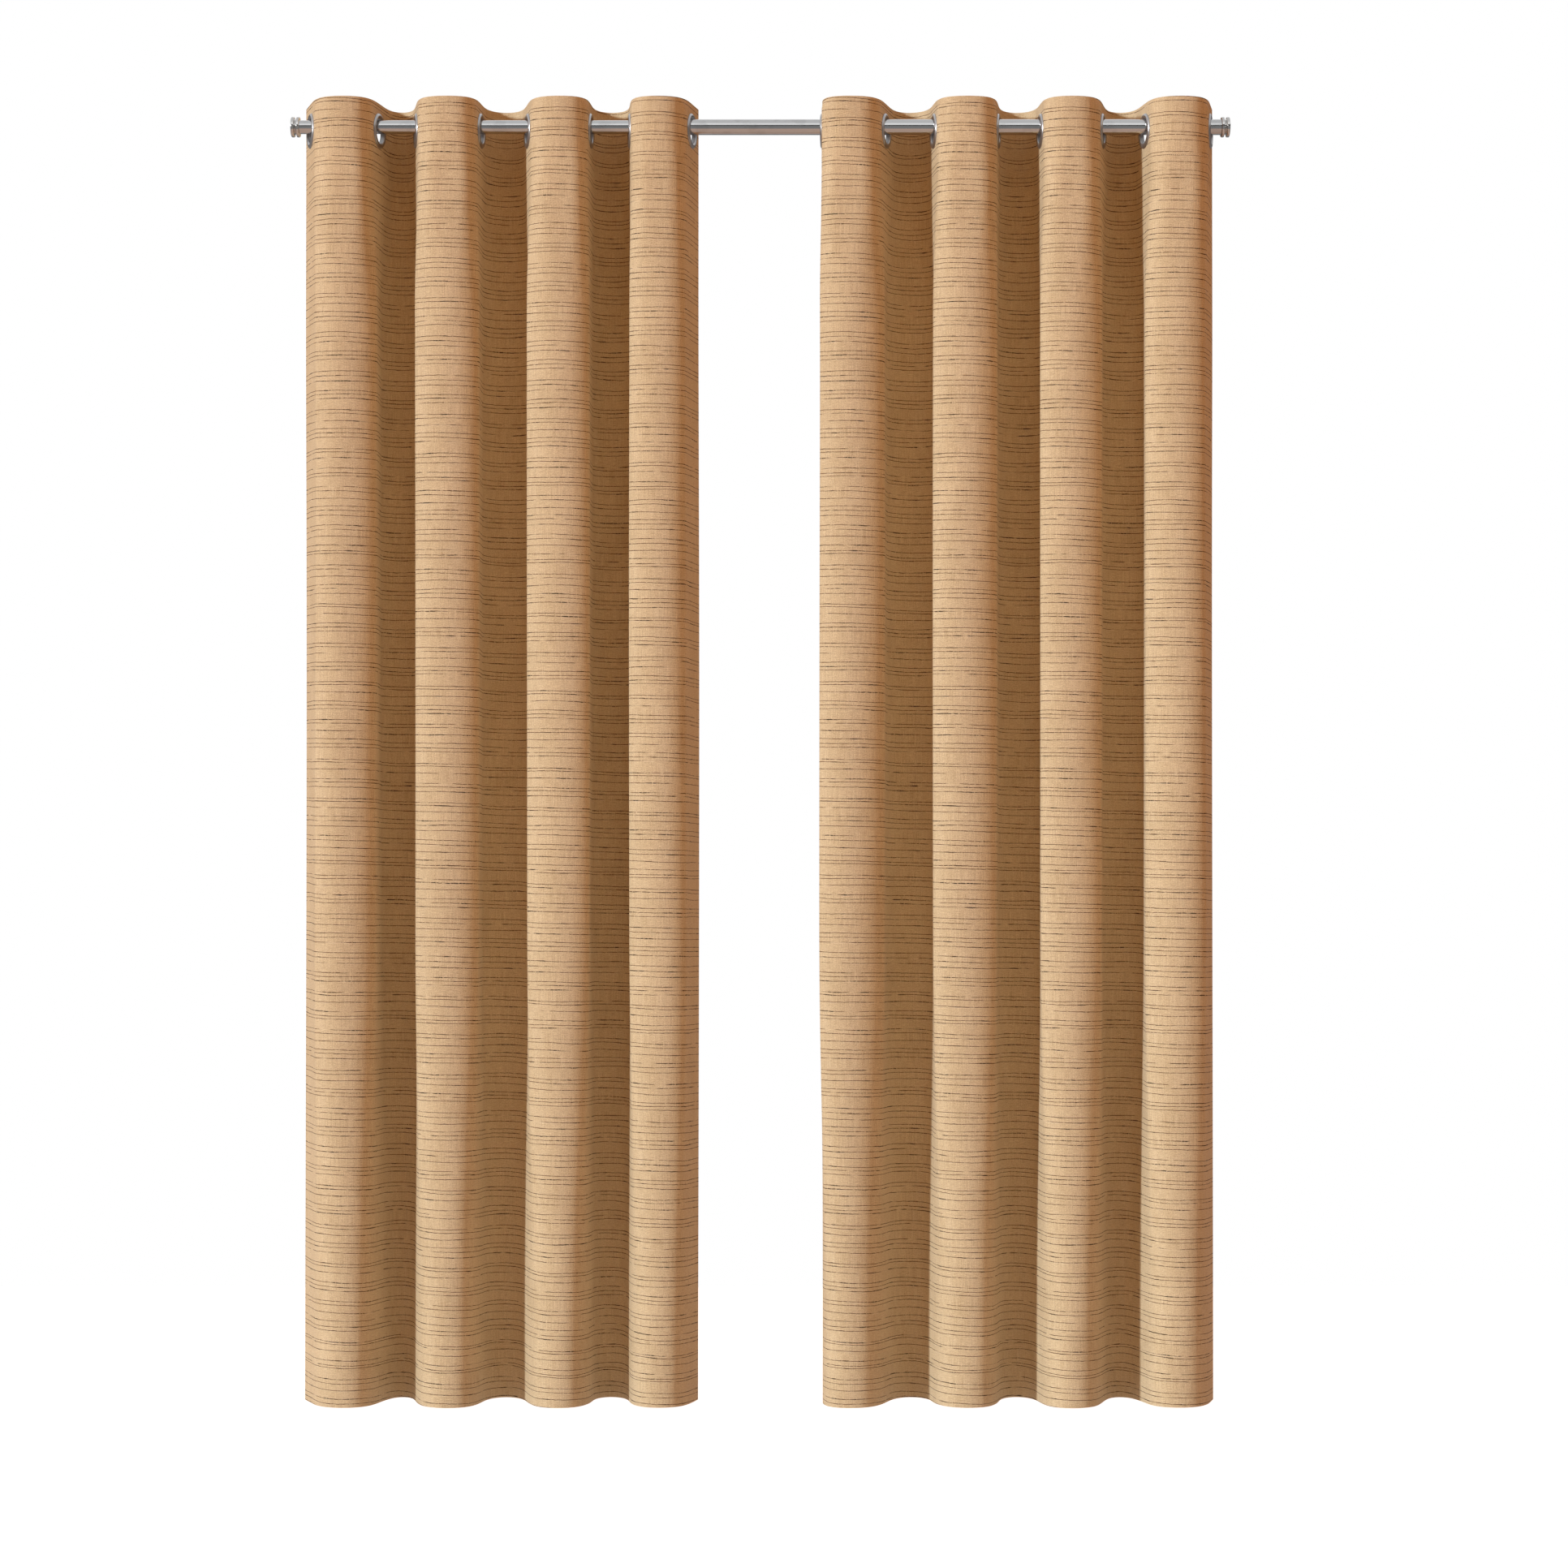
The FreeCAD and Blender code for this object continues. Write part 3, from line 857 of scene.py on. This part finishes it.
for index, place in enumerate((0.0, 6.5, 17.0, 31.6, 38.6, 45.2)):
    from_yarn = calc(stripes, "SUBTRACT", level, place)
    repeat = calc(stripes, "ROUND", calc(stripes, "DIVIDE", from_yarn, has["Repeat"]))
    own = calc(stripes, "MULTIPLY_ADD", repeat, 6.0, float(index))
    chance = add(stripes, "ShaderNodeTexWhiteNoise", {"noise_dimensions": "1D"}, W=own)
    shift = calc(stripes, "MULTIPLY", calc(stripes, "SUBTRACT", chance.outputs[0], 0.5), 3.0)
    signed = calc(stripes, "SUBTRACT", from_yarn,
                  calc(stripes, "MULTIPLY_ADD", repeat, has["Repeat"], shift))
    gap = calc(stripes, "ABSOLUTE", signed)
    if nearest is None:
        nearest, offset, number = gap, signed, own
        continue
    closer = calc(stripes, "LESS_THAN", gap, nearest)
    number = calc(stripes, "MULTIPLY_ADD", calc(stripes, "SUBTRACT", own, number), closer, number)
    offset = calc(stripes, "MULTIPLY_ADD", calc(stripes, "SUBTRACT", signed, offset), closer,
                  offset)
    nearest = calc(stripes, "MINIMUM", gap, nearest)
row = calc(stripes, "MULTIPLY", number, 7.31)
shown = ease(stripes, grain(stripes, calc(stripes, "DIVIDE", across, 42), row, 1.5), 0.30, 0.42)
thick = ease(stripes, grain(stripes, calc(stripes, "DIVIDE", across, 30), row, 1.0, 9), 0.50, 0.72)
broken = ease(stripes, grain(stripes, calc(stripes, "DIVIDE", across, 2.6), row, 1.5, 21),
              0.26, 0.52, 0.25, 1.0)
pale = ease(stripes, grain(stripes, calc(stripes, "DIVIDE", across, 30), row, 0.0, 33), 0.58, 0.72)
half = calc(stripes, "MULTIPLY", has["Yarn Width"],
            calc(stripes, "MULTIPLY_ADD", thick, 0.45, 0.60))
body = ease(stripes, calc(stripes, "DIVIDE", nearest, half), 0.55, 1.35, 1.0, 0.0)
dash = calc(stripes, "MULTIPLY", body, calc(stripes, "MULTIPLY", shown, broken))
beside = calc(stripes, "ABSOLUTE", calc(stripes, "SUBTRACT", offset, 1.25))
slub = calc(stripes, "MULTIPLY", ease(stripes, beside, 0.25, 0.85, 1.0, 0.0),
            calc(stripes, "MULTIPLY", pale, broken))
fill(stripes, gives["Dark"], dash)
fill(stripes, gives["Black"], thick)
fill(stripes, gives["Cream"], slub)
fill(stripes, gives["Relief"], calc(stripes, "MAXIMUM", dash, slub))
print("slub stripes:", len(stripes.nodes), "nodes")

# %% [markdown]
# ## Twill ground
# Between the stripes the cloth is a golden twill of mottled yarns. Close up, each yarn
# shows as a small slanting step; further off, the yarns blend into fine streaks that run
# down with the warp and across with the weft. The group gives both: a shade that varies
# by yarn, and a height for the steps.

# %% Twill effect
twill, has, gives = effect(
    "Twill ground",
    {"Cloth": ("vector", None), "Yarn": ("float", 0.55), "Mottle": ("float", 1.0)},
    {"Shade": "float", "Height": "float"})
spot = add(twill, "ShaderNodeSeparateXYZ", Vector=has["Cloth"]).outputs
across = calc(twill, "DIVIDE", calc(twill, "MULTIPLY", spot[0], 1000), has["Yarn"])
down = calc(twill, "DIVIDE", calc(twill, "MULTIPLY", spot[1], 1000), has["Yarn"])
end, pick = calc(twill, "FLOOR", across), calc(twill, "FLOOR", down)
step = calc(twill, "FRACT", calc(twill, "DIVIDE", calc(twill, "ADD", end, pick), 4.0))
warp_up = calc(twill, "LESS_THAN", step, 0.49)
bow_across = calc(twill, "SINE", calc(twill, "MULTIPLY", calc(twill, "FRACT", across), math.pi))
bow_down = calc(twill, "SINE", calc(twill, "MULTIPLY", calc(twill, "FRACT", down), math.pi))
height = calc(twill, "MULTIPLY_ADD", calc(twill, "SUBTRACT", bow_across, bow_down), warp_up,
              bow_down)
by_end = grain(twill, calc(twill, "DIVIDE", across, 2.2), calc(twill, "DIVIDE", down, 60))
by_pick = grain(twill, calc(twill, "DIVIDE", across, 22), calc(twill, "DIVIDE", down, 1.9), z=5)
fleck = grain(twill, calc(twill, "DIVIDE", across, 3.4), calc(twill, "DIVIDE", down, 2.8), 2.0, 11)
cloud = grain(twill, calc(twill, "DIVIDE", across, 90), calc(twill, "DIVIDE", down, 140), z=17)
shade = calc(twill, "MULTIPLY", calc(twill, "SUBTRACT", by_end, 0.5), 0.30)
shade = calc(twill, "MULTIPLY_ADD", calc(twill, "SUBTRACT", by_pick, 0.5), 0.34, shade)
shade = calc(twill, "MULTIPLY_ADD", calc(twill, "SUBTRACT", fleck, 0.5), 0.85, shade)
shade = calc(twill, "MULTIPLY_ADD", calc(twill, "SUBTRACT", cloud, 0.5), 0.16, shade)
shade = calc(twill, "MULTIPLY_ADD", calc(twill, "SUBTRACT", warp_up, 0.5), 0.10, shade)
fill(twill, gives["Shade"], calc(twill, "MULTIPLY", shade, has["Mottle"]))
fill(twill, gives["Height"], height)
print("twill ground:", len(twill.nodes), "nodes")

# %% [markdown]
# ## Plated metal
# Drawn and plated metal is never perfectly even. Faint lines run the way it was drawn or
# turned, and handling leaves soft dull patches. Both change how sharp the reflections
# are, and the lines also tilt them a little.

# %% Plated surface effect
plated, has, gives = effect(
    "Plated surface",
    {"Place": ("vector", None), "Line Pitch": ("float", 0.0004), "Along": ("float", 0.05),
     "Roughness": ("float", 0.12), "Dulling": ("float", 0.10)},
    {"Roughness": "float", "Height": "float"})
spot = add(plated, "ShaderNodeSeparateXYZ", Vector=has["Place"]).outputs
fine = grain(plated, calc(plated, "DIVIDE", spot[0], has["Along"]),
             calc(plated, "DIVIDE", spot[1], has["Line Pitch"]), 1.0,
             calc(plated, "DIVIDE", spot[2], has["Line Pitch"]))
patch = grain(plated, calc(plated, "DIVIDE", spot[0], 0.03),
              calc(plated, "DIVIDE", spot[1], 0.02), 3.0, calc(plated, "DIVIDE", spot[2], 0.02))
dull = calc(plated, "MULTIPLY", ease(plated, patch, 0.48, 0.68), has["Dulling"])
dull = calc(plated, "MULTIPLY_ADD", calc(plated, "SUBTRACT", fine, 0.5), 0.06, dull)
fill(plated, gives["Roughness"], calc(plated, "ADD", has["Roughness"], dull))
fill(plated, gives["Height"], fine)
print("plated surface:", len(plated.nodes), "nodes")

# %% [markdown]
# ## Materials
# The cloth reads its own UV map, which is measured in metres across and down the flat
# cloth, so the weave follows every fold and keeps its scale. The metals read Object
# coordinates.

# %% Material helpers
def blank(name):
    """A material with its Principled shader, ready for links."""
    material = bpy.data.materials.new(name)
    material.use_nodes = True
    return material, material.node_tree, material.node_tree.nodes["Principled BSDF"]


def use(tree, group, **inputs):
    """One use of an effect in a material."""
    made = tree.nodes.new("ShaderNodeGroup")
    made.node_tree = group
    for key, value in inputs.items():
        fill(tree, made.inputs[key.replace("_", " ")], value)
    return made.outputs


def relief(tree, shader, height, distance, strength=1.0):
    """Height in the surface, as a bump."""
    bump = add(tree, "ShaderNodeBump", Height=height, Distance=distance, Strength=strength)
    tree.links.new(bump.outputs[0], shader.inputs["Normal"])


def paint(pieces, material):
    """Gives pieces one material."""
    for piece in pieces:
        piece.data.materials.clear()
        piece.data.materials.append(material)


# %% Woven cloth
cloth, tree, shader = blank("Slub weave cloth")
place = add(tree, "ShaderNodeUVMap", {"uv_map": "Cloth"}).outputs[0]
yarns = use(tree, stripes, Cloth=place)
ground = use(tree, twill, Cloth=place, Mottle=1.5)
gold = tint(tree, calc(tree, "ADD", ground["Shade"], 0.5), (0.47, 0.355, 0.172, 1),
            (0.93, 0.835, 0.575, 1))
brown = tint(tree, yarns["Black"], (0.125, 0.056, 0.022, 1), (0.020, 0.011, 0.006, 1))
colour = tint(tree, calc(tree, "MULTIPLY", yarns["Cream"], 0.5), gold, (0.92, 0.82, 0.62, 1))
colour = tint(tree, yarns["Dark"], colour, brown)
tree.links.new(colour, shader.inputs["Base Color"])
tree.links.new(calc(tree, "MULTIPLY_ADD", ground["Shade"], -0.10, 0.52),
               shader.inputs["Roughness"])
tree.links.new(ease(tree, yarns["Dark"], 0, 1, 0.5, 0.05), shader.inputs["Sheen Weight"])
shader.inputs["Sheen Roughness"].default_value = 0.5
shader.inputs["Sheen Tint"].default_value = (1.0, 0.96, 0.86, 1)
tree.links.new(ease(tree, yarns["Dark"], 0, 1, 0.8, 0.15), shader.inputs["Specular IOR Level"])
raised = calc(tree, "MULTIPLY_ADD", yarns["Relief"], 1.6, ground["Height"])
relief(tree, shader, raised, 0.00016)
paint(strips.values(), cloth)

# %% Sewing thread
thread, tree, shader = blank("Sewing thread")
place = add(tree, "ShaderNodeTexCoord").outputs["Object"]
twist = add(tree, "ShaderNodeTexNoise", {"noise_dimensions": "3D"}, Vector=place, Scale=2400.0)
tree.links.new(tint(tree, twist.outputs[0], (0.74, 0.60, 0.38, 1), (0.95, 0.86, 0.66, 1)),
               shader.inputs["Base Color"])
shader.inputs["Roughness"].default_value = 0.6
relief(tree, shader, twist.outputs[0], 0.0001)
paint(threads.values(), thread)


# %% Plated metals
def metal(name, colour, roughness, dulling, pitch, along, lift):
    """A plated metal with drawn lines along X and soft dull patches."""
    material, tree, shader = blank(name)
    place = add(tree, "ShaderNodeTexCoord").outputs["Object"]
    finish = use(tree, plated, Place=place, Line_Pitch=pitch, Along=along,
                 Roughness=roughness, Dulling=dulling)
    worn = tint(tree, ease(tree, finish["Roughness"], roughness, roughness + dulling), colour,
                tuple(0.9 * channel for channel in colour[:3]) + (1,))
    tree.links.new(worn, shader.inputs["Base Color"])
    tree.links.new(finish["Roughness"], shader.inputs["Roughness"])
    shader.inputs["Metallic"].default_value = 1.0
    relief(tree, shader, finish["Height"], lift)
    return material


polished = metal("Polished nickel tube", (0.66, 0.66, 0.665, 1), 0.13, 0.06, 0.0006, 0.08, 4e-6)
turned = metal("Polished nickel spool", (0.68, 0.67, 0.66, 1), 0.12, 0.06, 0.0005, 0.0006, 4e-6)
satin = metal("Satin nickel bracket", (0.58, 0.58, 0.585, 1), 0.30, 0.12, 0.0004, 0.004, 1e-5)
zinc = metal("Zinc plated screw", (0.60, 0.61, 0.63, 1), 0.28, 0.15, 0.0004, 0.0006, 1e-5)
paint([nodes["outer_tube"], nodes["inner_tube"]], polished)
paint(finials, turned)
for side in toward_middle:
    paint([nodes[f"{side}_wall_plate"], nodes[f"{side}_bracket_arm"]], satin)
    paint([nodes[f"{side}_wall_screws"], nodes[f"{side}_set_screw"]], zinc)

# %% Satin silver rings
silver, tree, shader = blank("Satin silver ring")
place = add(tree, "ShaderNodeTexCoord").outputs["Object"]
finish = use(tree, plated, Place=place, Line_Pitch=0.0004, Along=0.0004, Roughness=0.30,
             Dulling=0.12)
tree.links.new(tint(tree, ease(tree, finish["Height"], 0.2, 0.8), (0.36, 0.36, 0.37, 1),
                    (0.42, 0.42, 0.43, 1)), shader.inputs["Base Color"])
tree.links.new(finish["Roughness"], shader.inputs["Roughness"])
shader.inputs["Metallic"].default_value = 0.85
shader.inputs["Coat Weight"].default_value = 0.2
relief(tree, shader, finish["Height"], 2e-6)
paint([node for name, node in nodes.items() if "_ring_" in name], silver)
print(len(bpy.data.materials), "materials")

# %% [markdown]
# ## Studio
# A plain pale floor lies below the hems. One even, slightly soft key light comes from the
# left in front, low enough that each fold shades the next. The room is warm, so the
# shadows between the folds turn golden. Polished metal shows the room itself, so the rays
# it reflects see a soft box above, a darker room in front and a pale floor, while the
# background stays plain white.

# %% Floor
bm = bmesh.new()
bmesh.ops.create_grid(bm, x_segments=8, y_segments=6, size=1)
for vert in bm.verts:
    vert.co = Vector((vert.co.x * 3.2, vert.co.y * 2.4 - 0.9, panel_bottom - 0.025))
floor = new_piece("studio_floor", bm)
pale, tree, shader = blank("Pale floor")
shader.inputs["Base Color"].default_value = (0.5, 0.5, 0.49, 1)
shader.inputs["Roughness"].default_value = 0.9
shader.inputs["Emission Color"].default_value = (1, 1, 1, 1)
seen = add(tree, "ShaderNodeLightPath").outputs
tree.links.new(calc(tree, "MULTIPLY_ADD", seen["Is Camera Ray"], 0.77, 0.2),
               shader.inputs["Emission Strength"])
paint([floor], pale)
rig.stage(floor)


# %% Key light
key_data = bpy.data.lights.new("key", "SUN")
key_data.energy = 2.5
key_data.angle = math.radians(5)
key = bpy.data.objects.new("key", key_data)
bpy.context.scene.collection.objects.link(key)
key_from = Vector((-6.0, -4.1, 1.3))
key.rotation_euler = (-key_from).to_track_quat("-Z", "Y").to_euler()

# %% Room and background
world = bpy.data.worlds.new("Studio room")
bpy.context.scene.world = world
world.use_nodes = True
tree = world.node_tree
sky = tree.nodes["Background"]
seen = add(tree, "ShaderNodeLightPath").outputs
height = add(tree, "ShaderNodeSeparateXYZ",
             Vector=add(tree, "ShaderNodeTexCoord").outputs["Generated"]).outputs[2]
angle = calc(tree, "MULTIPLY", calc(tree, "ARCSINE", height), 180 / math.pi)
ramp = add(tree, "ShaderNodeValToRGB", Fac=calc(tree, "DIVIDE", calc(tree, "ADD", angle, 90), 180))
stops = [(-90, 0.90), (-78, 0.70), (-60, 0.26), (5, 0.24), (8, 0.06), (18, 0.06), (24, 1.0),
         (44, 1.0), (52, 0.70), (90, 0.65)]
band = ramp.color_ramp
while len(band.elements) < len(stops):
    band.elements.new(0.5)
for element, (elevation, value) in zip(band.elements, stops):
    element.position = (elevation + 90) / 180
    element.color = (value, value, value, 1)
lit = tint(tree, seen["Is Glossy Ray"], (0.51, 0.19, 0.045, 1), ramp.outputs[0])
lit = tint(tree, seen["Is Camera Ray"], lit, (1, 1, 1, 1))
tree.links.new(lit, sky.inputs["Color"])
sky.inputs["Strength"].default_value = 1.0

# %% [markdown]
# ## Camera
# The camera stands well back, level, a little below the middle of the drop, with a long
# lens, so that the panels stay square and the fronts of the folds rise above their backs
# only slightly at the top.

camera_data = bpy.data.cameras.new("camera")
camera_data.lens = 73.54
camera_data.sensor_width = 36
camera_data.shift_y = 0.046
camera = bpy.data.objects.new("camera", camera_data)
bpy.context.scene.collection.objects.link(camera)
camera.location = (0.0387, -5.36, -1.197)
camera.rotation_euler = (math.pi / 2, 0, 0)
bpy.context.scene.camera = camera
bpy.context.scene.view_settings.view_transform = "Standard"
with open("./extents.json", "w") as out:
    json.dump({"cad": cad_box, "visual": [list(corner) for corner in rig.bounds()]}, out)
print(open("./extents.json").read())
